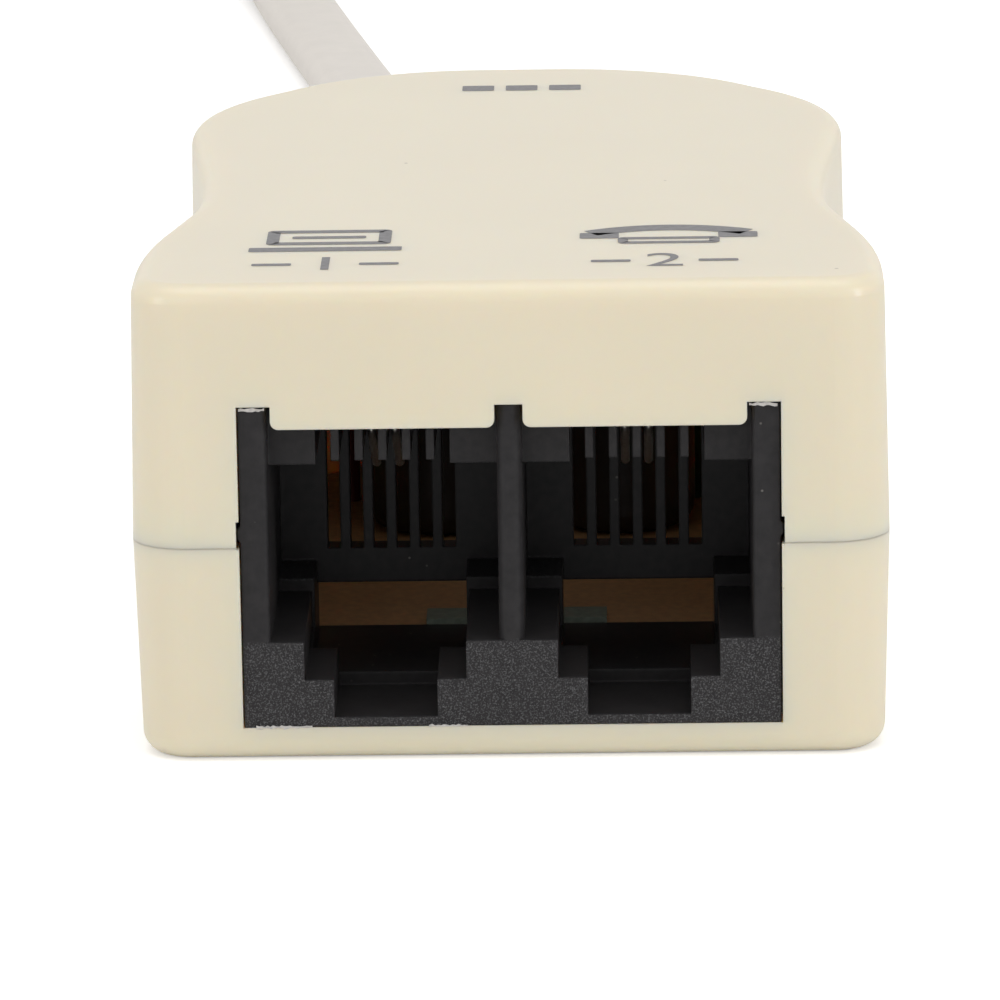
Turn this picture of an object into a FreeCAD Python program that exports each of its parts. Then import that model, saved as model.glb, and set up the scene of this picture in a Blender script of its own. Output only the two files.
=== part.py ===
"""In-line telephone filter: a two-half moulded case with a waist, a ganged
two-port six-position jack at its front, a small circuit board with the
filter's chokes and capacitors inside, and a short flat line cord with a
plug at its rear.

Millimetres. +Z is up and the sockets face -Y. The origin is on the surface
that the case stands on, under the middle of the case.
"""
import FreeCAD, Part
import math
import os

from FreeCAD import Vector

# Case
CASE_WIDTH = 32.4
CASE_LENGTH = 47.4
CASE_HEIGHT = 20.9
SEAM_HEIGHT = 9.5
WALL = 1.5
FLOOR = 1.0
SILL_HEIGHT = 1.5
TOP_DRAFT = 1.0
BOTTOM_DRAFT = 1.5
TOP_EDGE_RADIUS = 0.8
BOTTOM_EDGE_RADIUS = 1.0

# Plan of the case: wide front block, waist, flared and rounded rear. The
# insets are measured from the case's full half width.
CORNER_RADIUS = 2.4
SHARPEST_CORNER = 0.3
ARC_SHARE = 0.96
BLOCK_DEPTH = 7.9
BLOCK_BEND_RADIUS = 30.0
WAIST_INSET = 2.1
WAIST_RUN_IN = 9.3
WAIST_LENGTH = 5.2
WAIST_BEND_RADIUS = 20.0
FLARE_INSET = 0.5
FLARE_RADIUS = 50.0
REAR_SHOULDER_DEPTH = 9.65
REAR_SHOULDER_RADIUS = 11.8
REAR_TURN_INSET = 4.6
REAR_TURN_DEPTH = 5.0
REAR_TURN_RADIUS = 13.0
REAR_FACE_WIDTH = 15.0
REAR_FACE_RADIUS = 12.0

# Joint of the two halves
LIP_HEIGHT = 1.0
LIP_THICKNESS = 0.6
LIP_CLEARANCE = 0.15
POST_RADIUS = 1.2
POST_WALL_GAP = 0.3
POST_REAR_DEPTH = 16.0
PIN_RADIUS = 0.6
PIN_LENGTH = 2.4
PIN_CLEARANCE = 0.15
HOLD_RIB_INSET = 1.0
HOLD_RIB_FRONT_GAP = 2.2
HOLD_RIB_REAR_GAP = 2.0
GUIDE_THICKNESS = 0.75
SUPPORT_INSET = 3.8

# Ganged jack. It fills the case's width but for the space at its sides, and
# its two sockets share what its own walls leave.
JACK_SIDE_SPACE = 4.71
JACK_SETBACK = 0.3
JACK_SIDE_CLEARANCE = 0.06
JACK_SIDE_WALL = 1.18
JACK_BACK_WALL = 1.2
RIB_WIDTH = 1.08
FLANGE_REACH = 0.65
FLANGE_THICKNESS = 1.3
FLANGE_GAP = 0.4
SOCKET_DEPTH = 11.7
SOCKET_HEIGHT = 7.45
SOCKET_FLOOR = 3.75
COMB_HEIGHT = 1.9
COMB_COVER = 1.0
COMB_DEPTH = 6.6
TOOTH_LIFT = 0.16
TOOTH_WIDTH = 0.35
CONTACT_PITCH = 1.016
CONTACT_POSITIONS = 6
LATCH_SIDE_STEP = 1.42
LATCH_STEP = 2.07
CATCH_SIDE_STEP = 1.255
CATCH_STEP = 0.41
CATCH_DEPTH = 5.2
LEDGE_DEPTH = 3.1
LEDGE_HEIGHT = 0.55
REAR_SLOT_WIDTH = 0.57
REAR_SLOT_STEP = 0.55
REAR_WINDOW_SIDE_STEP = 0.14
REAR_WINDOW_BOTTOM = 0.99
REAR_WINDOW_TOP_GAP = 0.45
COLUMN_EDGE_RADIUS = 0.25
NUB_HEIGHT = 1.1
NUB_REACH = 0.12
TAB_DROP = 0.93
TAB_SIDE_GAP = 0.2
TAB_CORNER_RADIUS = 0.35

# Contact springs and the insulated leads that carry on from them
SPRING_RADIUS = 0.2
SPRING_BEND = 0.5
SPRING_NOSE_DEPTH = 2.9
SPRING_NOSE_RUN = 0.6
SPRING_NOSE_DROP = 1.0
SPRING_END_DEPTH = 9.4
SPRING_END_DROP = 1.8
SPRING_TOP_COVER = 0.6
SPRING_TAIL = 0.5
PORT_LEAD_RADIUS = 0.45
PORT_LEAD_BEND = 1.6
PORT_LEAD_RUN_OUT = 2.0
PORT_LEAD_CHOKE_GAP = 0.6
PORT_LEAD_EDGE_GAP = 1.4
PORT_LEAD_PITCH = 1.6
PORT_LEAD_REAR_GAP = 6.9

# Circuit board and its parts
BOARD_SIDE_SPACE = 6.7
BOARD_THICKNESS = 0.8
BOARD_LIFT = 0.65
BOARD_FRONT_GAP = 0.1
BOARD_REAR_GAP = 3.0
BOARD_CORNER = 2.2
BOARD_SIDE_GAP = 0.1
RAIL_THICKNESS = 0.8
RAIL_SEAT = 0.6
RAIL_START_GAP = 1.0
HOLE_CLEARANCE = 0.08
SOLDER_RADIUS = 0.6
SOLDER_HEIGHT = 0.5
CHOKE_HEIGHT = 9.0
CHOKE_LEFT_SPACE = 2.3
CHOKE_RIGHT_SPACE = 1.4
CHOKE_GAP = 1.7
CHOKE_REAR_GAP = 7.9
CHOKE_LEAD_INSET = 1.4
SLEEVE_WALL = 0.2
SLEEVE_ROUNDING = 1.0
SLEEVE_LIP = 0.05
DRUM_FLANGE = 1.0
WINDING_DEPTH = 1.3
LEAD_RADIUS = 0.3
FILM_GAP = 0.7
FILM_SIDE_SPACE = 2.55
FILM_THICKNESS = 2.8
FILM_HEIGHT = 6.0
FILM_ROUNDING = 1.18
FILM_LIFT = 0.8
FILM_SEAT = 0.5
FILM_LEAD_INSET = 0.8
FILM_REAR_GAP = 3.0
RESISTOR_LENGTH = 3.2
RESISTOR_RADIUS = 0.9
RESISTOR_BARREL_RADIUS = 0.77
RESISTOR_CAP = 0.8
RESISTOR_LEAD_PITCH = 2.1
RESISTOR_LEAD_RISE = 1.3
RESISTOR_X = 1.3
RESISTOR_LIFT = 0.2
RESISTOR_REAR_GAP = 6.5
CHIP_LENGTH = 1.8
CHIP_WIDTH = 1.9
CHIP_HEIGHT = 0.25
CHIP_X = 3.05
CHIP_GAP = 0.05

# Line cord, its strain relief and its inner wires
CORD_WIDTH = 4.8
CORD_THICKNESS = 2.4
GROMMET_WIDTH = 7.6
GROMMET_HEIGHT = 5.2
GROMMET_FLANGE = 1.2
GROMMET_FLANGE_ROUNDING = 1.0
GROMMET_NECK_WIDTH = 6.0
GROMMET_NECK_HEIGHT = 3.6
GROMMET_NECK_ROUNDING = 0.6
GROMMET_CLEARANCE = 0.1
GROMMET_WALL_GAP = 0.4
WIRE_RADIUS = 0.5
WIRE_SPACING = 2.0
WIRE_BEND = 1.6
WIRE_DROP_GAP = 0.9
CORD_RISE_RUN = 16.0
CORD_LEVEL_RUN = 8.0
CORD_ARC_SHARE = 0.45

# Plug at the far end of the cord
PLUG_WIDTH = 9.65
PLUG_HEIGHT = 6.6
PLUG_LENGTH = 12.4
PLUG_ENTRY_DEPTH = 6.0
PLUG_ENTRY_CLEARANCE = 0.2
PLUG_CORD_HEIGHT = 3.1
PLUG_LATCH_WIDTH = 6.0
PLUG_LEVER_WIDTH = 3.2
PLUG_NOSE_CHAMFER = 0.4
PLUG_LATCH_THICKNESS = 0.9
PLUG_LATCH_RISE = 2.6
PLUG_LATCH_STEP_RISE = 1.43
PLUG_LATCH_ROOT = 0.8
PLUG_LATCH_LENGTH = 6.0
PLUG_LATCH_TIP = 0.54
PLUG_LATCH_HEEL = 1.44
PLUG_LATCH_SINK = 0.1
PLUG_LEVER_OVERLAP = 0.5
PLUG_LEVER_OVERHANG = 1.2
PLUG_SLOT_WIDTH = 0.6
PLUG_SLOT_LENGTH = 3.6
PLUG_SLOT_HEIGHT = 3.0
BLADE_THICKNESS = 0.36
BLADE_RECESS = 0.5

# Values that follow from the sizes above
FRONT_Y = -CASE_LENGTH / 2
REAR_Y = CASE_LENGTH / 2
CEILING_Z = CASE_HEIGHT - WALL
JACK_WIDTH = CASE_WIDTH - 2 * JACK_SIDE_SPACE
FLANGE_WIDTH = JACK_WIDTH + 2 * FLANGE_REACH
SOCKET_WIDTH = (JACK_WIDTH - RIB_WIDTH) / 2 - JACK_SIDE_WALL
SOCKET_PITCH = SOCKET_WIDTH + RIB_WIDTH
SOCKET_X = (-SOCKET_PITCH / 2, SOCKET_PITCH / 2)
SOCKET_CEILING = SOCKET_FLOOR + SOCKET_HEIGHT
COMB_WIDTH = (CONTACT_POSITIONS - 1) * CONTACT_PITCH + REAR_SLOT_WIDTH
COMB_CEILING = SOCKET_CEILING + COMB_HEIGHT
LATCH_WIDTH = SOCKET_WIDTH - 2 * LATCH_SIDE_STEP
CATCH_WIDTH = LATCH_WIDTH - 2 * CATCH_SIDE_STEP
REAR_WINDOW_WIDTH = LATCH_WIDTH - 2 * REAR_WINDOW_SIDE_STEP
JACK_BASE_Z = SILL_HEIGHT
JACK_TOP_Z = JACK_BASE_Z + COMB_CEILING + COMB_COVER
JACK_FRONT_Y = FRONT_Y + JACK_SETBACK
JACK_REAR_Y = JACK_FRONT_Y + SOCKET_DEPTH + JACK_BACK_WALL
JACK_BODY_Y = FRONT_Y + WALL + FLANGE_GAP
SPRING_Z = JACK_TOP_Z - SPRING_TOP_COVER - SPRING_RADIUS
SPRING_REAR_Y = JACK_REAR_Y + SPRING_TAIL
BOARD_WIDTH = CASE_WIDTH - 2 * BOARD_SIDE_SPACE
BOARD_BASE_Z = FLOOR + BOARD_LIFT
BOARD_TOP_Z = BOARD_BASE_Z + BOARD_THICKNESS
BOARD_FRONT_Y = JACK_REAR_Y + BOARD_FRONT_GAP
BOARD_REAR_Y = REAR_Y - WALL - BOARD_REAR_GAP
CHOKE_RADIUS = (BOARD_WIDTH - CHOKE_LEFT_SPACE - CHOKE_GAP - CHOKE_RIGHT_SPACE) / 4
CHOKE_X = (CHOKE_LEFT_SPACE + CHOKE_RADIUS - BOARD_WIDTH / 2,
           BOARD_WIDTH / 2 - CHOKE_RIGHT_SPACE - CHOKE_RADIUS)
CHOKE_Y = BOARD_REAR_Y - CHOKE_REAR_GAP - CHOKE_RADIUS
CHOKE_TOP_Z = BOARD_TOP_Z + CHOKE_HEIGHT
CHOKE_LEAD_REACH = CHOKE_RADIUS - CHOKE_LEAD_INSET
FILM_LENGTH = (BOARD_WIDTH - FILM_GAP) / 2 - FILM_SIDE_SPACE
FILM_LEAD_REACH = FILM_LENGTH / 2 - FILM_LEAD_INSET
FILM_X = (-(FILM_LENGTH + FILM_GAP) / 2, (FILM_LENGTH + FILM_GAP) / 2)
FILM_Y = BOARD_REAR_Y - FILM_REAR_GAP
RESISTOR_Y = BOARD_REAR_Y - RESISTOR_REAR_GAP
PORT_LEAD_Y = BOARD_REAR_Y - PORT_LEAD_REAR_GAP
PORT_LEAD_Z = CHOKE_TOP_Z + PORT_LEAD_CHOKE_GAP + PORT_LEAD_RADIUS
PORT_LEAD_FOOT_X = BOARD_WIDTH / 2 - PORT_LEAD_EDGE_GAP
WIRE_Y = BOARD_REAR_Y - WIRE_DROP_GAP
GROMMET_INNER_Y = REAR_Y - WALL - GROMMET_WALL_GAP - GROMMET_FLANGE
GROMMET_OUTER_Y = REAR_Y + GROMMET_CLEARANCE + GROMMET_FLANGE

# The cord's route: straight out of the case, down to the table, back and a
# little to the left, and up into the plug
CORD_LOW_Z = CORD_THICKNESS / 2
CORD_START = (0.0, GROMMET_OUTER_Y, SEAM_HEIGHT)
CORD_ROUTE = [
    (0.0, REAR_Y + 12.0, SEAM_HEIGHT),
    (-1.44, REAR_Y + 24.0, SEAM_HEIGHT),
    (-3.72, REAR_Y + 43.0, CORD_LOW_Z),
    (-6.0, REAR_Y + 62.0, CORD_LOW_Z),
    (-9.6, REAR_Y + 84.0, CORD_LOW_Z),
    (-13.2, REAR_Y + 104.0, CORD_LOW_Z),
    (-16.94, REAR_Y + 126.0, CORD_LOW_Z),
]


def box(x0, x1, y0, y1, z0, z1):
    """Block between two corners."""
    return Part.makeBox(x1 - x0, y1 - y0, z1 - z0, Vector(x0, y0, z0))


def centred_box(x, width, y0, y1, z0, z1):
    """Block of the given width, centred on x."""
    return box(x - width / 2, x + width / 2, y0, y1, z0, z1)


def post(x, y, radius, z0, z1):
    """Upright cylinder."""
    return Part.makeCylinder(radius, z1 - z0, Vector(x, y, z0))


def fused(shapes):
    """One solid from several that meet."""
    return shapes[0].multiFuse(shapes[1:]).removeSplitter()


def write(name, shape):
    """Save one piece under its own name."""
    shape.exportStep("parts/" + name + ".step")
    print(name, "solids", len(shape.Solids), "volume", round(shape.Volume, 2))


def rounded_wire(corners, inset, z):
    """Closed outline through (x, y, radius) corners, listed anticlockwise.

    The outline is moved inwards by inset, and each corner keeps its centre,
    so an outer corner gets tighter and an inner corner gets wider. Two arcs
    that a short side can't hold share it.
    """
    count = len(corners)
    moved = []
    for i in range(count):
        before = Vector(corners[i - 1][0], corners[i - 1][1], 0)
        here = Vector(corners[i][0], corners[i][1], 0)
        after = Vector(corners[(i + 1) % count][0], corners[(i + 1) % count][1], 0)
        arriving = (here - before).normalize()
        leaving = (after - here).normalize()
        normal_in = Vector(-arriving.y, arriving.x, 0)
        normal_out = Vector(-leaving.y, leaving.x, 0)
        shift = (normal_in + normal_out) * (inset / (1 + normal_in.dot(normal_out)))
        convex = arriving.cross(leaving).z > 0
        radius = corners[i][2] - inset if convex else corners[i][2] + inset
        radius = max(radius, SHARPEST_CORNER)
        half_turn = math.acos(max(-1.0, min(1.0, arriving.dot(leaving)))) / 2
        moved.append((here + shift, arriving, leaving, radius, half_turn))
    shares = []
    for i in range(count):
        here, _, _, radius, half_turn = moved[i]
        after, _, _, next_radius, next_half_turn = moved[(i + 1) % count]
        room = ARC_SHARE * (after - here).Length
        wanted = radius * math.tan(half_turn) + next_radius * math.tan(next_half_turn)
        shares.append(room / wanted if wanted > room else 1.0)
    edges = []
    lift = Vector(0, 0, z)
    first = None
    last = None
    for i in range(count):
        here, arriving, leaving, radius, half_turn = moved[i]
        radius *= min(shares[i - 1], shares[i])
        reach = radius * math.tan(half_turn)
        start = here - arriving * reach + lift
        end = here + leaving * reach + lift
        towards_centre = (leaving - arriving).normalize()
        middle = here + towards_centre * (radius / math.cos(half_turn) - radius) + lift
        if last is not None:
            edges.append(Part.LineSegment(last, start).toShape())
        else:
            first = start
        edges.append(Part.Arc(start, middle, end).toShape())
        last = end
    edges.append(Part.LineSegment(last, first).toShape())
    return Part.Wire(edges)


def case_corners():
    """Corners of the case's plan at the seam, anticlockwise from the front left."""
    half = CASE_WIDTH / 2
    waist = half - WAIST_INSET
    block_end = FRONT_Y + BLOCK_DEPTH
    waist_start = block_end + WAIST_RUN_IN
    waist_end = waist_start + WAIST_LENGTH
    right = [
        (half, FRONT_Y, CORNER_RADIUS),
        (half, block_end, BLOCK_BEND_RADIUS),
        (waist, waist_start, WAIST_BEND_RADIUS),
        (waist, waist_end, FLARE_RADIUS),
        (half - FLARE_INSET, REAR_Y - REAR_SHOULDER_DEPTH, REAR_SHOULDER_RADIUS),
        (half - REAR_TURN_INSET, REAR_Y - REAR_TURN_DEPTH, REAR_TURN_RADIUS),
        (REAR_FACE_WIDTH / 2, REAR_Y, REAR_FACE_RADIUS),
    ]
    left = [(-x, y, radius) for x, y, radius in reversed(right)]
    return right + left


def case_block(inset, z0, z1, draft):
    """Solid of the case's plan from the seam side z0 to z1, with draft."""
    corners = case_corners()
    shrink = abs(z1 - z0) * math.tan(math.radians(draft))
    start = abs(z0 - SEAM_HEIGHT) * math.tan(math.radians(draft))
    wires = [
        rounded_wire(corners, inset + start, z0),
        rounded_wire(corners, inset + start + shrink, z1),
    ]
    return Part.makeLoft(wires, True, True)


def edges_at(shape, z):
    """Edges that lie wholly at one height."""
    return [e for e in shape.Edges
            if abs(e.BoundBox.ZMin - z) < 1e-4 and abs(e.BoundBox.ZMax - z) < 1e-4]


def half_at(y):
    """Half width of the cavity beside the waist at a place along the case."""
    cavity = case_block(WALL, SEAM_HEIGHT, SEAM_HEIGHT + 1, TOP_DRAFT)
    strip = cavity.common(box(0, CASE_WIDTH, y - 0.05, y + 0.05, SEAM_HEIGHT, CASE_HEIGHT))
    return strip.BoundBox.XMax


def post_places():
    """Centres of the four posts that join the halves."""
    places = []
    for y in (FRONT_Y + BLOCK_DEPTH, REAR_Y - POST_REAR_DEPTH):
        reach = half_at(y) - POST_RADIUS - POST_WALL_GAP
        places += [(-reach, y), (reach, y)]
    return places


def window():
    """Space cut through the front wall for the jack, with room for its nubs."""
    gap = JACK_SIDE_CLEARANCE
    y0 = FRONT_Y - 1
    y1 = FRONT_Y + WALL + 1
    width = JACK_WIDTH + 2 * gap
    tab_z = JACK_TOP_Z - TAB_DROP
    nub_z = SEAM_HEIGHT + NUB_HEIGHT / 2
    notch_z = JACK_TOP_Z + gap
    cuts = [centred_box(0, width, y0, y1, JACK_BASE_Z, tab_z)]
    for side in (-1, 1):
        inner = JACK_WIDTH / 2 - JACK_SIDE_WALL - TAB_SIDE_GAP
        low, high = sorted((side * inner, side * width / 2))
        cuts.append(box(low, high, y0, y1, tab_z - 1, notch_z))
    cuts.append(centred_box(0, RIB_WIDTH + 2 * gap, y0, y1, tab_z - 1, notch_z))
    opening = fused(cuts)
    corners = [e for e in edges_at(opening, tab_z) if abs(e.BoundBox.YLength - (y1 - y0)) < 1e-4]
    opening = opening.makeFillet(TAB_CORNER_RADIUS, corners)
    reach = width + 2 * NUB_REACH
    nub_room = centred_box(0, reach, y0, y1, nub_z - NUB_HEIGHT / 2 - gap, nub_z + NUB_HEIGHT / 2 + gap)
    return fused([opening, nub_room])


def cord_slot():
    """Space cut through the rear wall for the neck of the strain relief."""
    gap = GROMMET_CLEARANCE
    return centred_box(0, GROMMET_NECK_WIDTH + 2 * gap, REAR_Y - WALL - 1, REAR_Y + 1,
                       SEAM_HEIGHT - GROMMET_NECK_HEIGHT / 2 - gap,
                       SEAM_HEIGHT + GROMMET_NECK_HEIGHT / 2 + gap)


def make_top_shell():
    """Upper half: drafted walls, rounded top edge, lip groove, posts and ribs."""
    outer = case_block(0, SEAM_HEIGHT, CASE_HEIGHT, TOP_DRAFT)
    outer = outer.makeFillet(TOP_EDGE_RADIUS, edges_at(outer, CASE_HEIGHT))
    cavity = case_block(WALL, SEAM_HEIGHT, CEILING_Z, TOP_DRAFT)
    groove = case_block(WALL - LIP_THICKNESS - LIP_CLEARANCE, SEAM_HEIGHT,
                        SEAM_HEIGHT + LIP_HEIGHT + LIP_CLEARANCE, TOP_DRAFT)
    shell = outer.cut(cavity).cut(groove)
    inside = []
    for x, y in post_places():
        inside.append(post(x, y, POST_RADIUS, SEAM_HEIGHT, CEILING_Z))
        inside.append(post(x, y, PIN_RADIUS, SEAM_HEIGHT - PIN_LENGTH, SEAM_HEIGHT))
    rib_width = JACK_WIDTH - 2 * HOLD_RIB_INSET
    for y in (JACK_BODY_Y + HOLD_RIB_FRONT_GAP, JACK_REAR_Y - HOLD_RIB_REAR_GAP):
        inside.append(centred_box(0, rib_width, y - GUIDE_THICKNESS, y, JACK_TOP_Z, CEILING_Z))
    shell = shell.multiFuse(inside).removeSplitter()
    return shell.cut(window()).cut(cord_slot())


def make_bottom_shell():
    """Lower half: drafted walls, lip, jack guides, board rails and posts."""
    outer = case_block(0, SEAM_HEIGHT, 0, BOTTOM_DRAFT)
    outer = outer.makeFillet(BOTTOM_EDGE_RADIUS, edges_at(outer, 0))
    cavity = case_block(WALL, SEAM_HEIGHT, FLOOR, BOTTOM_DRAFT)
    lip = case_block(WALL - LIP_THICKNESS, SEAM_HEIGHT, SEAM_HEIGHT + LIP_HEIGHT, TOP_DRAFT)
    lip = lip.cut(case_block(WALL, SEAM_HEIGHT, SEAM_HEIGHT + LIP_HEIGHT, TOP_DRAFT))
    shell = outer.cut(cavity).fuse(lip)
    inside = []
    for x, y in post_places():
        inside.append(post(x, y, POST_RADIUS, FLOOR / 2, SEAM_HEIGHT))
    inner_half = CASE_WIDTH / 2 - WALL / 2
    guide_x = JACK_WIDTH / 2 + JACK_SIDE_CLEARANCE
    flange_rear = JACK_BODY_Y + FLANGE_THICKNESS + JACK_SIDE_CLEARANCE
    for side in (-1, 1):
        low, high = sorted((side * guide_x, side * inner_half))
        inside.append(box(low, high, flange_rear, flange_rear + GUIDE_THICKNESS, FLOOR / 2, SEAM_HEIGHT))
        edge = BOARD_WIDTH / 2 + BOARD_SIDE_GAP
        low, high = sorted((side * (edge - RAIL_SEAT), side * (edge + RAIL_THICKNESS)))
        rail = box(low, high, BOARD_FRONT_Y + RAIL_START_GAP, BOARD_REAR_Y - BOARD_CORNER, FLOOR / 2,
                   BOARD_TOP_Z + RAIL_SEAT)
        low, high = sorted((0, side * edge))
        rail = rail.cut(box(low, high, FRONT_Y, REAR_Y, BOARD_BASE_Z, CASE_HEIGHT))
        inside.append(rail)
        support_x = side * (JACK_WIDTH / 2 - SUPPORT_INSET)
        inside.append(centred_box(support_x, GUIDE_THICKNESS, JACK_BODY_Y, JACK_REAR_Y,
                                  FLOOR / 2, JACK_BASE_Z))
    shell = shell.multiFuse(inside).removeSplitter()
    outside = outer.fuse(lip)
    shell = shell.common(outside)
    for x, y in post_places():
        shell = shell.cut(post(x, y, PIN_RADIUS + PIN_CLEARANCE,
                               SEAM_HEIGHT - PIN_LENGTH - PIN_CLEARANCE, SEAM_HEIGHT + 1))
    return shell.cut(window()).cut(cord_slot())


def contact_offsets():
    """Distance of each contact position from its socket's middle."""
    middle = (CONTACT_POSITIONS - 1) / 2
    return [(i - middle) * CONTACT_PITCH for i in range(CONTACT_POSITIONS)]


def make_jack():
    """Ganged housing with two stepped sockets, combs, latch ledges and rear windows."""
    z = JACK_BASE_Z
    front = JACK_FRONT_Y
    socket_rear = front + SOCKET_DEPTH
    catch_rear = front + CATCH_DEPTH
    body = centred_box(0, JACK_WIDTH, front, JACK_REAR_Y, z, JACK_TOP_Z)
    flange = centred_box(0, FLANGE_WIDTH, JACK_BODY_Y, JACK_BODY_Y + FLANGE_THICKNESS, z, JACK_TOP_Z)
    housing = fused([body, flange])
    cuts = []
    teeth = []
    clear = front - 1
    beyond = JACK_REAR_Y + 1
    slot_width = CONTACT_PITCH - TOOTH_WIDTH
    groove_z = SPRING_Z - SPRING_RADIUS
    slot_z = z + SOCKET_FLOOR + LEDGE_HEIGHT + REAR_SLOT_STEP
    window_top = z + SOCKET_FLOOR - REAR_WINDOW_TOP_GAP
    ceiling = z + SOCKET_CEILING
    comb_rear = JACK_BODY_Y + COMB_DEPTH
    for cx in SOCKET_X:
        cuts.append(centred_box(cx, SOCKET_WIDTH, clear, JACK_BODY_Y, z + SOCKET_FLOOR, JACK_TOP_Z + 1))
        cuts.append(centred_box(cx, SOCKET_WIDTH, clear, socket_rear - LEDGE_DEPTH,
                                z + SOCKET_FLOOR, ceiling))
        cuts.append(centred_box(cx, SOCKET_WIDTH, clear, socket_rear,
                                z + SOCKET_FLOOR + LEDGE_HEIGHT, ceiling))
        cuts.append(centred_box(cx, LATCH_WIDTH, clear, socket_rear - LEDGE_DEPTH,
                                z + LATCH_STEP, ceiling))
        cuts.append(centred_box(cx, CATCH_WIDTH, clear, catch_rear, z + CATCH_STEP, ceiling))
        cuts.append(centred_box(cx, REAR_WINDOW_WIDTH, catch_rear, socket_rear,
                                z + REAR_WINDOW_BOTTOM, ceiling))
        cuts.append(centred_box(cx, REAR_WINDOW_WIDTH, catch_rear, beyond,
                                z + REAR_WINDOW_BOTTOM, window_top))
        cuts.append(centred_box(cx, COMB_WIDTH, clear, socket_rear,
                                z + SOCKET_FLOOR, z + COMB_CEILING))
        for offset in contact_offsets():
            cuts.append(centred_box(cx + offset, slot_width, clear, comb_rear, ceiling, JACK_TOP_Z + 1))
            cuts.append(centred_box(cx + offset, slot_width, clear, beyond, groove_z, JACK_TOP_Z + 1))
            cuts.append(centred_box(cx + offset, REAR_SLOT_WIDTH, clear, beyond, slot_z, ceiling))
        for i in range(CONTACT_POSITIONS - 1):
            offset = (i - (CONTACT_POSITIONS - 2) / 2) * CONTACT_PITCH
            teeth.append(centred_box(cx + offset, TOOTH_WIDTH, JACK_BODY_Y, comb_rear,
                                     ceiling + TOOTH_LIFT, z + COMB_CEILING + 0.1))
    housing = housing.cut(cuts[0].multiFuse(cuts[1:]))
    housing = housing.cut(centred_box(0, RIB_WIDTH, front, front + RIB_WIDTH, z + SOCKET_FLOOR, JACK_TOP_Z))
    nubs = [make_nub(side, SEAM_HEIGHT + NUB_HEIGHT / 2) for side in (-1, 1)]
    housing = housing.multiFuse(teeth + nubs + [make_rib_nose(RIB_WIDTH)]).removeSplitter()
    inner_edge = (SOCKET_PITCH + SOCKET_WIDTH) / 2
    edges = [e for e in housing.Edges
             if abs(abs(e.CenterOfMass.x) - inner_edge) < 1e-4
             and abs(e.CenterOfMass.y - front) < 1e-4 and e.BoundBox.ZLength > SOCKET_FLOOR]
    return housing.makeFillet(COLUMN_EDGE_RADIUS, edges)


def make_rib_nose(rib):
    """Rounded front of the wall between the two sockets."""
    z = JACK_BASE_Z + SOCKET_FLOOR
    centre_y = JACK_FRONT_Y + rib / 2
    back_y = JACK_FRONT_Y + rib
    left = Vector(-rib / 2, centre_y, z)
    right = Vector(rib / 2, centre_y, z)
    back_right = Vector(rib / 2, back_y, z)
    back_left = Vector(-rib / 2, back_y, z)
    outline = Part.Wire([
        Part.Arc(left, Vector(0, JACK_FRONT_Y, z), right).toShape(),
        Part.LineSegment(right, back_right).toShape(),
        Part.LineSegment(back_right, back_left).toShape(),
        Part.LineSegment(back_left, left).toShape(),
    ])
    return Part.Face(outline).extrude(Vector(0, 0, JACK_TOP_Z - z))


def make_nub(side, nub_z):
    """Low ridge on the jack's side that centres it between the halves."""
    root = JACK_WIDTH / 2 - NUB_REACH
    tip = JACK_WIDTH / 2 + NUB_REACH
    profile = Part.makePolygon([
        Vector(side * root, JACK_FRONT_Y, nub_z - NUB_HEIGHT / 2),
        Vector(side * tip, JACK_FRONT_Y, nub_z - NUB_HEIGHT / 6),
        Vector(side * tip, JACK_FRONT_Y, nub_z + NUB_HEIGHT / 6),
        Vector(side * root, JACK_FRONT_Y, nub_z + NUB_HEIGHT / 2),
        Vector(side * root, JACK_FRONT_Y, nub_z - NUB_HEIGHT / 2),
    ])
    return Part.Face(profile).extrude(Vector(0, WALL, 0))


def rounded_path(points, radii):
    """Straight runs joined by tangent arcs, one radius for each inner point."""
    edges = []
    last = Vector(*points[0])
    for i in range(1, len(points) - 1):
        here = Vector(*points[i])
        arriving = (here - Vector(*points[i - 1])).normalize()
        leaving = (Vector(*points[i + 1]) - here).normalize()
        half_turn = math.acos(max(-1.0, min(1.0, arriving.dot(leaving)))) / 2
        radius = radii[i - 1]
        reach = radius * math.tan(half_turn)
        start = here - arriving * reach
        end = here + leaving * reach
        towards_centre = (leaving - arriving).normalize()
        middle = here + towards_centre * (radius / math.cos(half_turn) - radius)
        edges.append(Part.LineSegment(last, start).toShape())
        edges.append(Part.Arc(start, middle, end).toShape())
        last = end
    edges.append(Part.LineSegment(last, Vector(*points[-1])).toShape())
    return Part.Wire(edges)


def round_wire(points, bend, radius):
    """Round wire along a path whose bends all have one radius."""
    path = rounded_path(points, [bend] * (len(points) - 2))
    start = Vector(*points[0])
    heading = Vector(*points[1]) - start
    section = Part.Wire(Part.makeCircle(radius, start, heading))
    return path.makePipeShell([section], True, False)


def make_spring(cx, offset):
    """Contact wire: forward over the jack and back down into the socket."""
    x = cx + offset
    nose_y = FRONT_Y + SPRING_NOSE_DEPTH
    points = [
        (x, SPRING_REAR_Y, SPRING_Z),
        (x, nose_y, SPRING_Z),
        (x, nose_y + SPRING_NOSE_RUN, SPRING_Z - SPRING_NOSE_DROP),
        (x, FRONT_Y + SPRING_END_DEPTH, JACK_BASE_Z + SOCKET_CEILING - SPRING_END_DROP),
    ]
    return round_wire(points, SPRING_BEND, SPRING_RADIUS)


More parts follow.
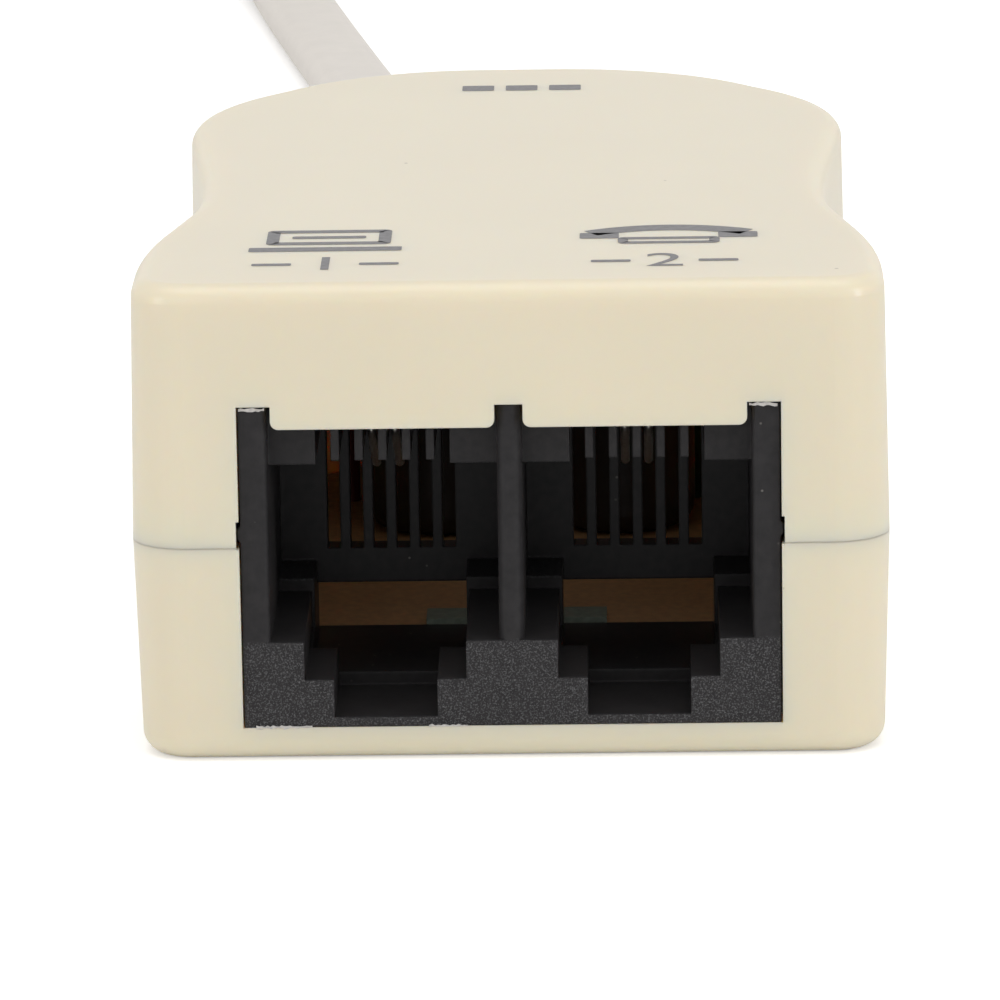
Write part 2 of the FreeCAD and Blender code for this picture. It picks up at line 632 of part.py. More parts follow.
def port_leads():
    """Start and foot of the insulated lead behind each contact, by port and position."""
    leads = {}
    outer = PORT_LEAD_FOOT_X
    inner = PORT_LEAD_FOOT_X - PORT_LEAD_PITCH
    for port, cx, feet in ((1, SOCKET_X[0], (-outer, -inner)), (2, SOCKET_X[1], (inner, outer))):
        for position, foot_x in zip((3, 4), feet):
            leads[port, position] = (cx + contact_offsets()[position - 1], foot_x)
    return leads


def make_port_lead(x, foot_x):
    """Insulated lead: back from the contact wire, over the choke and down to the board."""
    return round_wire([
        (x, SPRING_REAR_Y, SPRING_Z),
        (x, SPRING_REAR_Y + PORT_LEAD_RUN_OUT, SPRING_Z),
        (foot_x, PORT_LEAD_Y, PORT_LEAD_Z),
        (foot_x, PORT_LEAD_Y, BOARD_BASE_Z),
    ], PORT_LEAD_BEND, PORT_LEAD_RADIUS)


def lead_places():
    """Centre and radius of every lead that passes through the board."""
    places = []
    for x, foot_x in port_leads().values():
        places.append((foot_x, PORT_LEAD_Y, PORT_LEAD_RADIUS))
    for side in (-1, 1):
        for x in CHOKE_X:
            places.append((x + side * CHOKE_LEAD_REACH, CHOKE_Y, LEAD_RADIUS))
        for x in FILM_X:
            places.append((x + side * FILM_LEAD_REACH, FILM_Y, LEAD_RADIUS))
        for x in (-RESISTOR_X, RESISTOR_X):
            places.append((x, RESISTOR_Y + side * RESISTOR_LEAD_PITCH / 2, LEAD_RADIUS))
        places.append((side * WIRE_SPACING / 2, WIRE_Y, WIRE_RADIUS))
    return places


def make_board():
    """Phenolic board with clipped rear corners and a hole for each lead."""
    half = BOARD_WIDTH / 2
    outline = Part.makePolygon([
        Vector(-half, BOARD_FRONT_Y, BOARD_BASE_Z),
        Vector(half, BOARD_FRONT_Y, BOARD_BASE_Z),
        Vector(half, BOARD_REAR_Y - BOARD_CORNER, BOARD_BASE_Z),
        Vector(half - BOARD_CORNER, BOARD_REAR_Y, BOARD_BASE_Z),
        Vector(BOARD_CORNER - half, BOARD_REAR_Y, BOARD_BASE_Z),
        Vector(-half, BOARD_REAR_Y - BOARD_CORNER, BOARD_BASE_Z),
        Vector(-half, BOARD_FRONT_Y, BOARD_BASE_Z),
    ])
    board = Part.Face(outline).extrude(Vector(0, 0, BOARD_THICKNESS))
    for x, y, radius in lead_places():
        board = board.cut(post(x, y, radius + HOLE_CLEARANCE, BOARD_BASE_Z - 1, BOARD_TOP_Z + 1))
    return board


def make_solder():
    """Solder cones under the board, one below each lead."""
    cones = []
    for x, y, radius in lead_places():
        cones.append(Part.makeCone(SOLDER_RADIUS / 2, SOLDER_RADIUS, SOLDER_HEIGHT,
                                   Vector(x, y, BOARD_BASE_Z - SOLDER_HEIGHT)))
    return Part.makeCompound(cones)


def rounded_post(x, radius, z0, z1, rounding):
    """Upright cylinder at the chokes' place with both end edges rounded."""
    shape = post(x, CHOKE_Y, radius, z0, z1)
    return shape.makeFillet(rounding, edges_at(shape, z0) + edges_at(shape, z1))


def make_choke(x):
    """Drum core, winding, leads and shrunk sleeve of one upright choke."""
    low = BOARD_TOP_Z + SLEEVE_WALL
    high = CHOKE_TOP_Z - SLEEVE_WALL
    inner = CHOKE_RADIUS - SLEEVE_WALL
    inner_rounding = SLEEVE_ROUNDING - SLEEVE_WALL
    drum_radius = inner - HOLE_CLEARANCE
    neck_radius = drum_radius - WINDING_DEPTH
    neck_low = low + DRUM_FLANGE
    neck_high = high - DRUM_FLANGE
    drum = rounded_post(x, drum_radius, low, high, inner_rounding)
    waist = post(x, CHOKE_Y, drum_radius + 1, neck_low, neck_high)
    waist = waist.cut(post(x, CHOKE_Y, neck_radius, neck_low, neck_high))
    core = drum.cut(waist)
    winding = post(x, CHOKE_Y, drum_radius - HOLE_CLEARANCE, neck_low, neck_high)
    winding = winding.cut(post(x, CHOKE_Y, neck_radius + HOLE_CLEARANCE, neck_low, neck_high))
    leads = []
    for side in (-1, 1):
        leads.append(post(x + side * CHOKE_LEAD_REACH, CHOKE_Y, LEAD_RADIUS, BOARD_BASE_Z, low))
    sleeve = rounded_post(x, CHOKE_RADIUS, BOARD_TOP_Z, CHOKE_TOP_Z, SLEEVE_ROUNDING)
    sleeve = sleeve.cut(rounded_post(x, inner, low, high, inner_rounding))
    mouth = CHOKE_RADIUS - SLEEVE_ROUNDING - SLEEVE_LIP
    sleeve = sleeve.cut(post(x, CHOKE_Y, mouth, BOARD_TOP_Z - 1, CHOKE_TOP_Z + 1))
    return core, winding, Part.makeCompound(leads), sleeve


def make_film_capacitor(x):
    """Dipped film capacitor: rounded body above the board and its two leads."""
    base = BOARD_TOP_Z + FILM_LIFT
    body = centred_box(x, FILM_LENGTH, FILM_Y - FILM_THICKNESS / 2, FILM_Y + FILM_THICKNESS / 2,
                       base, base + FILM_HEIGHT)
    body = body.makeFillet(FILM_ROUNDING, body.Edges)
    leads = []
    for side in (-1, 1):
        leads.append(post(x + side * FILM_LEAD_REACH, FILM_Y, LEAD_RADIUS, BOARD_BASE_Z,
                          base + FILM_SEAT))
    return body.cut(Part.makeCompound(leads)), Part.makeCompound(leads)


def make_resistor(x):
    """Axial resistor on end: waisted body, a short lead below and a hairpin over the top."""
    low = BOARD_TOP_Z + RESISTOR_LIFT
    high = low + RESISTOR_LENGTH
    lead_y = RESISTOR_Y - RESISTOR_LEAD_PITCH / 2
    body_y = RESISTOR_Y + RESISTOR_LEAD_PITCH / 2
    body = fused([
        post(x, body_y, RESISTOR_RADIUS, low, low + RESISTOR_CAP),
        post(x, body_y, RESISTOR_BARREL_RADIUS, low, high),
        post(x, body_y, RESISTOR_RADIUS, high - RESISTOR_CAP, high),
    ])
    hairpin = round_wire([
        (x, body_y, high),
        (x, body_y, high + RESISTOR_LEAD_RISE),
        (x, lead_y, high + RESISTOR_LEAD_RISE),
        (x, lead_y, BOARD_BASE_Z),
    ], 2 * LEAD_RADIUS, LEAD_RADIUS)
    return body, Part.makeCompound([post(x, body_y, LEAD_RADIUS, BOARD_BASE_Z, low), hairpin])


def make_chip(side):
    """Flat chip part on the board just behind the jack."""
    y0 = BOARD_FRONT_Y + CHIP_GAP
    return centred_box(side * CHIP_X, CHIP_WIDTH, y0, y0 + CHIP_LENGTH, BOARD_TOP_Z,
                       BOARD_TOP_Z + CHIP_HEIGHT)


def make_grommet():
    """Strain relief moulded on the cord: a neck between two flanges."""
    def slab(width, height, y0, y1, radius):
        plate = centred_box(0, width, y0, y1, SEAM_HEIGHT - height / 2, SEAM_HEIGHT + height / 2)
        along = [e for e in plate.Edges if abs(e.BoundBox.YLength - (y1 - y0)) < 1e-6]
        return plate.makeFillet(radius, along)
    return fused([
        slab(GROMMET_WIDTH, GROMMET_HEIGHT, GROMMET_INNER_Y, GROMMET_INNER_Y + GROMMET_FLANGE,
             GROMMET_FLANGE_ROUNDING),
        slab(GROMMET_NECK_WIDTH, GROMMET_NECK_HEIGHT, GROMMET_INNER_Y, GROMMET_OUTER_Y,
             GROMMET_NECK_ROUNDING),
        slab(GROMMET_WIDTH, GROMMET_HEIGHT, GROMMET_OUTER_Y - GROMMET_FLANGE, GROMMET_OUTER_Y,
             GROMMET_FLANGE_ROUNDING),
    ])


def make_inner_wire(side):
    """Insulated core of the cord, from the strain relief down to the board."""
    x = side * WIRE_SPACING / 2
    return round_wire([
        (x, GROMMET_INNER_Y, SEAM_HEIGHT),
        (x, WIRE_Y, SEAM_HEIGHT),
        (x, WIRE_Y, BOARD_BASE_Z),
    ], WIRE_BEND, WIRE_RADIUS)


def cord_heading():
    """Level direction of the cord's last stretch, which the plug follows."""
    return (Vector(*CORD_ROUTE[-1]) - Vector(*CORD_ROUTE[-2])).normalize()


def cord_points():
    """Route of the cord, ending level and at the height of the plug's entry."""
    heading = cord_heading()
    rise = Vector(*CORD_ROUTE[-1]) + heading * CORD_RISE_RUN
    rise.z = PLUG_CORD_HEIGHT
    end = rise + heading * (CORD_LEVEL_RUN + PLUG_ENTRY_DEPTH)
    return [CORD_START] + CORD_ROUTE + [tuple(rise), tuple(end)]


def cord_radii(points):
    """Arc radius at each inner point, as large as its two runs allow."""
    radii = []
    for i in range(1, len(points) - 1):
        before = Vector(*points[i]) - Vector(*points[i - 1])
        after = Vector(*points[i + 1]) - Vector(*points[i])
        turn = before.getAngle(after)
        radii.append(CORD_ARC_SHARE * min(before.Length, after.Length) / math.tan(turn / 2))
    return radii


def make_cord():
    """Flat cord: an oval section swept along runs and tangent arcs."""
    points = cord_points()
    radii = cord_radii(points)
    path = rounded_path(points, radii)
    start = Vector(*points[0])
    flat = CORD_WIDTH / 2 - CORD_THICKNESS / 2
    r = CORD_THICKNESS / 2
    up = Vector(0, 0, r)
    right = Vector(flat, 0, 0)
    reach = Vector(flat + r, 0, 0)
    section = Part.Wire([
        Part.LineSegment(start - right - up, start + right - up).toShape(),
        Part.Arc(start + right - up, start + reach, start + right + up).toShape(),
        Part.LineSegment(start + right + up, start - right + up).toShape(),
        Part.Arc(start - right + up, start - reach, start - right - up).toShape(),
    ])
    cord = path.makePipeShell([section], True, False)
    area = Part.Face(section).Area
    print("cord radii", [round(value, 1) for value in radii])
    print("cord length", round(path.Length, 2), "volume ratio", round(cord.Volume / (area * path.Length), 5))
    return cord


def place_plug(shape):
    """Move a piece of the plug from its own axes to the end of the cord."""
    heading = cord_heading()
    end = Vector(*cord_points()[-1]) - heading * PLUG_ENTRY_DEPTH
    shape.rotate(Vector(0, 0, 0), Vector(0, 0, 1), math.degrees(math.atan2(-heading.x, heading.y)))
    shape.translate(Vector(end.x, end.y, 0))
    return shape


def make_plug():
    """Clear plug: body with contact slots, cord entry and a sprung latch in one piece."""
    body = centred_box(0, PLUG_WIDTH, 0, PLUG_LENGTH, 0, PLUG_HEIGHT)
    nose = [e for e in body.Edges if abs(e.BoundBox.YMin - PLUG_LENGTH) < 1e-6]
    body = body.makeChamfer(PLUG_NOSE_CHAMFER, nose)
    gap = PLUG_ENTRY_CLEARANCE
    entry = centred_box(0, CORD_WIDTH + 2 * gap, -1, PLUG_ENTRY_DEPTH,
                        PLUG_CORD_HEIGHT - CORD_THICKNESS / 2 - gap,
                        PLUG_CORD_HEIGHT + CORD_THICKNESS / 2 + gap)
    body = body.cut(entry)
    for offset in contact_offsets():
        body = body.cut(centred_box(offset, PLUG_SLOT_WIDTH, PLUG_LENGTH - PLUG_SLOT_LENGTH,
                                    PLUG_LENGTH + 1, -1, PLUG_SLOT_HEIGHT))
    root_y = PLUG_LENGTH - PLUG_LATCH_ROOT
    lever_y = root_y - PLUG_LATCH_LENGTH
    lever_root_y = lever_y + PLUG_LEVER_OVERLAP
    thick = PLUG_LATCH_THICKNESS
    sunk_z = PLUG_HEIGHT - PLUG_LATCH_SINK
    step_z = PLUG_HEIGHT + PLUG_LATCH_STEP_RISE
    end_z = PLUG_HEIGHT + PLUG_LATCH_RISE

    def strip(width, profile):
        wire = Part.makePolygon([Vector(-width / 2, y, z) for y, z in profile + profile[:1]])
        return Part.Face(wire).extrude(Vector(width, 0, 0))

    front = strip(PLUG_LATCH_WIDTH, [
        (root_y, sunk_z), (root_y, PLUG_HEIGHT + PLUG_LATCH_TIP),
        (lever_y, step_z + thick), (lever_y, step_z), (root_y - PLUG_LATCH_HEEL, sunk_z)])
    lever = strip(PLUG_LEVER_WIDTH, [
        (lever_root_y, step_z), (lever_root_y, step_z + thick),
        (-PLUG_LEVER_OVERHANG, end_z + thick), (-PLUG_LEVER_OVERHANG, end_z)])
    return place_plug(fused([body, front, lever]))


def make_blade(offset):
    """Gold contact blade standing in its slot in the plug."""
    y1 = PLUG_LENGTH - BLADE_RECESS
    blade = centred_box(offset, BLADE_THICKNESS, y1 - PLUG_SLOT_LENGTH + 2 * BLADE_RECESS, y1,
                        BLADE_RECESS, PLUG_SLOT_HEIGHT)
    return place_plug(blade)


os.makedirs("parts", exist_ok=True)

write("top_shell", make_top_shell())
write("bottom_shell", make_bottom_shell())
write("jack_housing", make_jack())
for port, cx in enumerate(SOCKET_X, 1):
    for position in (3, 4):
        spring = make_spring(cx, contact_offsets()[position - 1])
        write("port_%d_contact_%d" % (port, position), spring)
for (port, position), (x, foot_x) in port_leads().items():
    write("port_%d_lead_%d" % (port, position), make_port_lead(x, foot_x))
write("circuit_board", make_board())
write("solder_joints", make_solder())
for number, x in enumerate(CHOKE_X, 1):
    core, winding, leads, sleeve = make_choke(x)
    write("choke_%d_core" % number, core)
    write("choke_%d_winding" % number, winding)
    write("choke_%d_leads" % number, leads)
    write("choke_%d_sleeve" % number, sleeve)
for number, x in enumerate(FILM_X, 1):
    body, leads = make_film_capacitor(x)
    write("film_capacitor_%d" % number, body)
    write("film_capacitor_%d_leads" % number, leads)
for number, x in enumerate((-RESISTOR_X, RESISTOR_X), 1):
    body, leads = make_resistor(x)
    write("resistor_%d" % number, body)
    write("resistor_%d_leads" % number, leads)
for number, side in enumerate((-1, 1), 1):
    write("chip_resistor_%d" % number, make_chip(side))
write("cord_grommet", make_grommet())
write("line_wire_red", make_inner_wire(-1))
write("line_wire_green", make_inner_wire(1))
write("line_cord", make_cord())
write("plug_body", make_plug())
for position in (3, 4):
    write("plug_blade_%d" % position, make_blade(contact_offsets()[position - 1]))
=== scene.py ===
import math
import random

import bmesh
import bpy
from mathutils import Matrix, Vector


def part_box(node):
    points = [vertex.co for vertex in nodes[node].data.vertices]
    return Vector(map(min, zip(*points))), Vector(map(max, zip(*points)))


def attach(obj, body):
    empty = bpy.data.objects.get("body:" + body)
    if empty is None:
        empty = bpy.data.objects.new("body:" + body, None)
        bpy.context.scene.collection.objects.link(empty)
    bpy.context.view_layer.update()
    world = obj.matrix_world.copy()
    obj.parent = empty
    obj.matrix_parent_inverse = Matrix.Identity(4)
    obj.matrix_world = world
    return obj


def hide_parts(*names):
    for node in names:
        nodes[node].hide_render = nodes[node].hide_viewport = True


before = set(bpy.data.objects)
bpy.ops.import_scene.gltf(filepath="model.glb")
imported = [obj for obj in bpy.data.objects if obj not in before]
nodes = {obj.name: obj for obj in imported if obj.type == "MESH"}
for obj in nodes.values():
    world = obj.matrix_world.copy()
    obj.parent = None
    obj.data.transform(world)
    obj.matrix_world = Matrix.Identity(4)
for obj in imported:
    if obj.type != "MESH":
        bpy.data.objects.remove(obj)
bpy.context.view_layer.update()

front_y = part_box("bottom_shell")[0][1]
top_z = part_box("top_shell")[1][2]

# The view: a long lens looks down at the two sockets from a little to the
# right of straight ahead, so the case fills the frame and its rear recedes.
camera_azimuth = math.radians(1.0)
camera_elevation = math.radians(14.5)
camera_roll = math.radians(0.9)
camera_distance = 0.333
camera_target = Vector((-0.00006, front_y, 0.0106))
back = Vector((math.sin(camera_azimuth) * math.cos(camera_elevation),
               -math.cos(camera_azimuth) * math.cos(camera_elevation),
               math.sin(camera_elevation)))
level_right = Vector((math.cos(camera_azimuth), math.sin(camera_azimuth), 0))
level_up = back.cross(level_right)
tilted_right = level_right * math.cos(camera_roll) - level_up * math.sin(camera_roll)
tilted_up = level_up * math.cos(camera_roll) + level_right * math.sin(camera_roll)

lens = bpy.data.cameras.new("view_camera")
lens.lens = 282.2
lens.sensor_width = 36.0
lens.shift_x = -0.0085
lens.shift_y = 0.021
lens.clip_start = 0.01
lens.clip_end = 20
camera = bpy.data.objects.new("view_camera", lens)
turn = Matrix((tilted_right, tilted_up, back)).transposed().to_4x4()
camera.matrix_world = Matrix.Translation(camera_target + back * camera_distance) @ turn
bpy.context.scene.collection.objects.link(camera)
bpy.context.scene.camera = camera
bpy.context.scene.view_settings.view_transform = "Standard"

# The floor: one plain sheet of white paper under the case. The camera sees it
# as white, and it keeps the soft shadow that the case throws on it.
floor_form = bmesh.new()
bmesh.ops.create_grid(floor_form, x_segments=1, y_segments=1, size=2.0)
floor_mesh = bpy.data.meshes.new("floor")
floor_form.to_mesh(floor_mesh)
floor_form.free()
floor = bpy.data.objects.new("floor", floor_mesh)
bpy.context.scene.collection.objects.link(floor)

floor_paper = bpy.data.materials.new("floor_paper")
floor_paper.use_nodes = True
paper_tree = floor_paper.node_tree
paper = paper_tree.nodes["Principled BSDF"]
paper.inputs["Base Color"].default_value = (0.94, 0.94, 0.94, 1)
paper.inputs["Roughness"].default_value = 0.9
paper.inputs["Emission Color"].default_value = (1, 1, 1, 1)
paper_path = paper_tree.nodes.new("ShaderNodeLightPath")
paper_seen = paper_tree.nodes.new("ShaderNodeMath")
paper_seen.operation = "MAXIMUM"
paper_glow = paper_tree.nodes.new("ShaderNodeMath")
paper_glow.operation = "MULTIPLY"
paper_glow.inputs[1].default_value = 0.34
paper_tree.links.new(paper_path.outputs["Is Camera Ray"], paper_seen.inputs[0])
paper_tree.links.new(paper_path.outputs["Is Transmission Ray"], paper_seen.inputs[1])
paper_tree.links.new(paper_seen.outputs[0], paper_glow.inputs[0])
paper_tree.links.new(paper_glow.outputs[0], paper.inputs["Emission Strength"])
floor_mesh.materials.append(floor_paper)

# The light: a plain white surround, a wide soft panel over the case, and narrow strips at the left and at the right.
surround = bpy.data.worlds.new("surround")
surround.use_nodes = True
bpy.context.scene.world = surround
sky_tree = surround.node_tree
sky = sky_tree.nodes["Background"]
sky.inputs["Color"].default_value = (1, 1, 1, 1)
sky_path = sky_tree.nodes.new("ShaderNodeLightPath")
sky_camera = sky_tree.nodes.new("ShaderNodeMath")
sky_camera.operation = "MAXIMUM"
sky_seen = sky_tree.nodes.new("ShaderNodeMath")
sky_seen.operation = "MAXIMUM"
sky_level = sky_tree.nodes.new("ShaderNodeMapRange")
sky_level.inputs["To Min"].default_value = 0.55
sky_level.inputs["To Max"].default_value = 1.0
sky_tree.links.new(sky_path.outputs["Is Camera Ray"], sky_camera.inputs[0])
sky_tree.links.new(sky_path.outputs["Is Glossy Ray"], sky_camera.inputs[1])
sky_tree.links.new(sky_camera.outputs[0], sky_seen.inputs[0])
sky_tree.links.new(sky_path.outputs["Is Transmission Ray"], sky_seen.inputs[1])
sky_tree.links.new(sky_seen.outputs[0], sky_level.inputs["Value"])
sky_tree.links.new(sky_level.outputs["Result"], sky.inputs["Strength"])


def soft_panel(name, place, aim, width, height, power):
    """Rectangular lamp at a place, turned to face a point."""
    light = bpy.data.lights.new(name, "AREA")
    light.shape = "RECTANGLE"
    light.size = width
    light.size_y = height
    light.energy = power
    lamp = bpy.data.objects.new(name, light)
    lamp.location = place
    lamp.rotation_euler = (Vector(aim) - Vector(place)).to_track_quat("-Z", "Y").to_euler()
    bpy.context.scene.collection.objects.link(lamp)
    return lamp


soft_panel("top_panel", (0.0, -0.08, 0.6), (0, 0, 0), 0.5, 0.5, 1.25)
soft_panel("left_strip", (-0.5, -0.35, 0.15), (0, 0, 0.01), 0.07, 0.3, 0.7)
soft_panel("right_strip", (0.45, -0.3, 0.15), (0, 0, 0.01), 0.07, 0.3, 0.75)

# The light in the case: what its thin ivory walls let through falls softly on
# the board, and so its brown shows in the slots and windows of the jack.
soft_panel("wall_glow", (0.0, 0.0, 0.0188), (0, 0.0, 0), 0.016, 0.018, 0.00022)


# The circuit board: brown phenolic paper board, punched and clipped at its
# rear corners. It lies behind the jack, on the two rails of the lower half.
def grained(name, colour, roughness, grain, relief, shift):
    """Finish whose tone and surface vary a little with a fine grain."""
    finish = bpy.data.materials.new(name)
    finish.use_nodes = True
    tree = finish.node_tree
    shader = tree.nodes["Principled BSDF"]
    shader.name = "shader"
    shader.inputs["Roughness"].default_value = roughness
    place = tree.nodes.new("ShaderNodeTexCoord")
    place.name = "place"
    noise = tree.nodes.new("ShaderNodeTexNoise")
    noise.name = "grain"
    noise.inputs["Scale"].default_value = grain
    noise.inputs["Detail"].default_value = 4
    tone = tree.nodes.new("ShaderNodeValToRGB")
    tone.name = "tone"
    low, high = tone.color_ramp.elements
    low.position = 0.3
    high.position = 0.7
    low.color = (*[c * (1 - shift) for c in colour], 1)
    high.color = (*[min(1, c * (1 + shift)) for c in colour], 1)
    bump = tree.nodes.new("ShaderNodeBump")
    bump.name = "relief"
    bump.inputs["Strength"].default_value = 0.6
    bump.inputs["Distance"].default_value = relief
    tree.links.new(place.outputs["Object"], noise.inputs["Vector"])
    tree.links.new(noise.outputs["Fac"], tone.inputs["Fac"])
    tree.links.new(tone.outputs["Color"], shader.inputs["Base Color"])
    tree.links.new(noise.outputs["Fac"], bump.inputs["Height"])
    tree.links.new(bump.outputs["Normal"], shader.inputs["Normal"])
    return finish


def dress(node, finish):
    """Give a node of the frame its finish."""
    nodes[node].data.materials.clear()
    nodes[node].data.materials.append(finish)


board_brown = grained("board_brown", (0.5, 0.275, 0.12), 0.55, 2500, 0.00001, 0.12)
dress("circuit_board", board_brown)

# The solder joints: small cones of soft solder, wave soldered under the board
# where each lead comes through.
solder_grey = grained("solder_grey", (0.62, 0.63, 0.64), 0.32, 4000, 0.00001, 0.08)
solder_grey.node_tree.nodes["shader"].inputs["Metallic"].default_value = 1.0
dress("solder_joints", solder_grey)

# The two chip parts: flat grey-green ceramic blocks on the board's front edge,
# just behind the rear windows of the sockets.
chip_green = grained("chip_green", (0.22, 0.26, 0.21), 0.5, 3000, 0.00001, 0.15)
for number in (1, 2):
    dress("chip_resistor_%d" % number, chip_green)

# The resistors: tan lacquer over a ceramic rod, with painted colour bands. They
# stand on end between the chokes and the film capacitors.
resistor_tan = grained("resistor_tan", (0.62, 0.47, 0.30), 0.35, 2600, 0.00001, 0.06)
bare_tin = grained("bare_tin", (0.66, 0.66, 0.66), 0.3, 5000, 0.000005, 0.06)
bare_tin.node_tree.nodes["shader"].inputs["Metallic"].default_value = 1.0
band_tree = resistor_tan.node_tree
band_height = band_tree.nodes.new("ShaderNodeSeparateXYZ")
band_tree.links.new(band_tree.nodes["place"].outputs["Object"], band_height.inputs[0])
resistor_low, resistor_high = (corner[2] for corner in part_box("resistor_1"))
band_share = band_tree.nodes.new("ShaderNodeMapRange")
band_share.inputs["From Min"].default_value = resistor_low
band_share.inputs["From Max"].default_value = resistor_high
band_paint = band_tree.nodes.new("ShaderNodeValToRGB")
band_paint.color_ramp.interpolation = "CONSTANT"
band_clear = (1, 1, 1, 1)
band_paint.color_ramp.elements[1].position = 0.14
band_paint.color_ramp.elements[0].color = band_clear
band_paint.color_ramp.elements[1].color = (0.25, 0.1, 0.05, 1)
for position, paint in ((0.26, band_clear), (0.36, (0.1, 0.07, 0.1, 1)), (0.47, band_clear),
                        (0.57, (0.9, 0.2, 0.06, 1)), (0.68, band_clear), (0.8, (1.0, 0.75, 0.25, 1)),
                        (0.9, band_clear)):
    band_paint.color_ramp.elements.new(position).color = paint
band_mix = band_tree.nodes.new("ShaderNodeMix")
band_mix.data_type = "RGBA"
band_mix.blend_type = "MULTIPLY"
band_mix.inputs[0].default_value = 1
band_tree.links.new(band_height.outputs["Z"], band_share.inputs["Value"])
band_tree.links.new(band_share.outputs["Result"], band_paint.inputs["Fac"])
band_tree.links.new(band_tree.nodes["tone"].outputs["Color"], band_mix.inputs[6])
band_tree.links.new(band_paint.outputs["Color"], band_mix.inputs[7])
band_tree.links.new(band_mix.outputs[2], band_tree.nodes["shader"].inputs["Base Color"])
for number in (1, 2):
    dress("resistor_%d" % number, resistor_tan)
    dress("resistor_%d_leads" % number, bare_tin)

# The film capacitors: dark green epoxy, dipped, so it pulls into a smooth skin.
# They stand side by side in front of the cord's two wires.
dipped_green = grained("dipped_green", (0.035, 0.13, 0.075), 0.2, 900, 0.00004, 0.1)
for number in (1, 2):
    dress("film_capacitor_%d" % number, dipped_green)
    dress("film_capacitor_%d_leads" % number, bare_tin)

# The chokes: a grey ferrite drum wound with enamelled copper wire, in a black
# sleeve that is shrunk over both ends. They stand upright behind the jack.
ferrite_grey = grained("ferrite_grey", (0.08, 0.08, 0.085), 0.6, 6000, 0.00001, 0.1)
copper_turns = grained("copper_turns", (0.55, 0.22, 0.07), 0.3, 1500, 0.000005, 0.08)
turn_tree = copper_turns.node_tree
copper_turns.node_tree.nodes["shader"].inputs["Metallic"].default_value = 0.9
turn_wave = turn_tree.nodes.new("ShaderNodeTexWave")
turn_wave.bands_direction = "Z"
turn_wave.inputs["Scale"].default_value = 1600
turn_tree.links.new(turn_tree.nodes["place"].outputs["Object"], turn_wave.inputs["Vector"])
turn_tree.links.new(turn_wave.outputs["Fac"], turn_tree.nodes["relief"].inputs["Height"])
turn_tree.nodes["relief"].inputs["Distance"].default_value = 0.00006
sleeve_black = grained("sleeve_black", (0.018, 0.017, 0.017), 0.38, 1200, 0.00003, 0.2)
for number in (1, 2):
    dress("choke_%d_core" % number, ferrite_grey)
    dress("choke_%d_winding" % number, copper_turns)
    dress("choke_%d_leads" % number, bare_tin)
    dress("choke_%d_sleeve" % number, sleeve_black)

# The jack housing: one black moulding with both sockets. Its front is polished above, and spark eroded below the
# sockets and on the ledges at their rear. The light grey grains in the eroded parts are painted glints, and only the
# ledges at the left of each socket, where the light falls, get them, as painted light.
jack_black = grained("jack_black", (0.026, 0.0245, 0.0255), 0.38, 2200, 0.000008, 0.15)
jack_tree = jack_black.node_tree
jack_shader = jack_tree.nodes["shader"]
jack_shader.inputs["Specular IOR Level"].default_value = 0.15
jack_place = jack_tree.nodes["place"]
jack_base_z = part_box("jack_housing")[0][2]
jack_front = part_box("jack_housing")[0][1]
socket_floor_z = jack_base_z + 0.00375
ledge_z = jack_base_z + 0.0043
socket_x = 0.005425


def step_mask(tree, value, low, high):
    """Node that goes from 0 to 1 as a value passes from low to high."""
    ramp = tree.nodes.new("ShaderNodeMapRange")
    ramp.inputs["From Min"].default_value = low
    ramp.inputs["From Max"].default_value = high
    tree.links.new(value, ramp.inputs["Value"])
    return ramp.outputs["Result"]


def combined(tree, operation, first, second):
    """Result of one sum of two values, or of a value and a number."""
    node = tree.nodes.new("ShaderNodeMath")
    node.operation = operation
    for i, item in enumerate((first, second)):
        if isinstance(item, (int, float)):
            node.inputs[i].default_value = item
        else:
            tree.links.new(item, node.inputs[i])
    return node.outputs[0]


jack_axes = jack_tree.nodes.new("ShaderNodeSeparateXYZ")
jack_tree.links.new(jack_place.outputs["Object"], jack_axes.inputs[0])
near_front = step_mask(jack_tree, jack_axes.outputs["Y"], jack_front + 0.0002, jack_front + 0.00005)
below_floor = step_mask(jack_tree, jack_axes.outputs["Z"], socket_floor_z + 0.0001, socket_floor_z - 0.0001)
at_rear = step_mask(jack_tree, jack_axes.outputs["Y"], jack_front + 0.0083, jack_front + 0.0087)
under_ledge = step_mask(jack_tree, jack_axes.outputs["Z"], ledge_z + 0.0001, ledge_z + 0.00005)
over_ledge = step_mask(jack_tree, jack_axes.outputs["Z"], ledge_z - 0.00012, ledge_z - 0.00006)
eroded_front = combined(jack_tree, "MULTIPLY", near_front, below_floor)
ledge_turn = jack_tree.nodes.new("ShaderNodeMath")
ledge_turn.operation = "WRAP"
ledge_turn.inputs[1].default_value = socket_x
ledge_turn.inputs[2].default_value = -socket_x
jack_tree.links.new(combined(jack_tree, "ADD", jack_axes.outputs["X"], socket_x), ledge_turn.inputs[0])
# Only the ledges at the left of each socket: their lighter grain there is painted light.
on_left = combined(jack_tree, "LESS_THAN", ledge_turn.outputs[0], -0.0033)
on_ledge = combined(jack_tree, "MULTIPLY", under_ledge, over_ledge)
on_ledge = combined(jack_tree, "MULTIPLY", on_ledge, on_left)
left_ledge_grain_and_painted_light = combined(jack_tree, "MULTIPLY", at_rear, on_ledge)
grain_and_glint_area = combined(jack_tree, "MAXIMUM", eroded_front, left_ledge_grain_and_painted_light)
spark = jack_tree.nodes.new("ShaderNodeTexNoise")
spark.inputs["Scale"].default_value = 13000
spark.inputs["Detail"].default_value = 3
spark.inputs["Roughness"].default_value = 0.7
jack_tree.links.new(jack_place.outputs["Object"], spark.inputs["Vector"])
glint_dots = step_mask(jack_tree, spark.outputs["Fac"], 0.5, 0.75)
painted_glints = combined(jack_tree, "MULTIPLY", grain_and_glint_area, glint_dots)
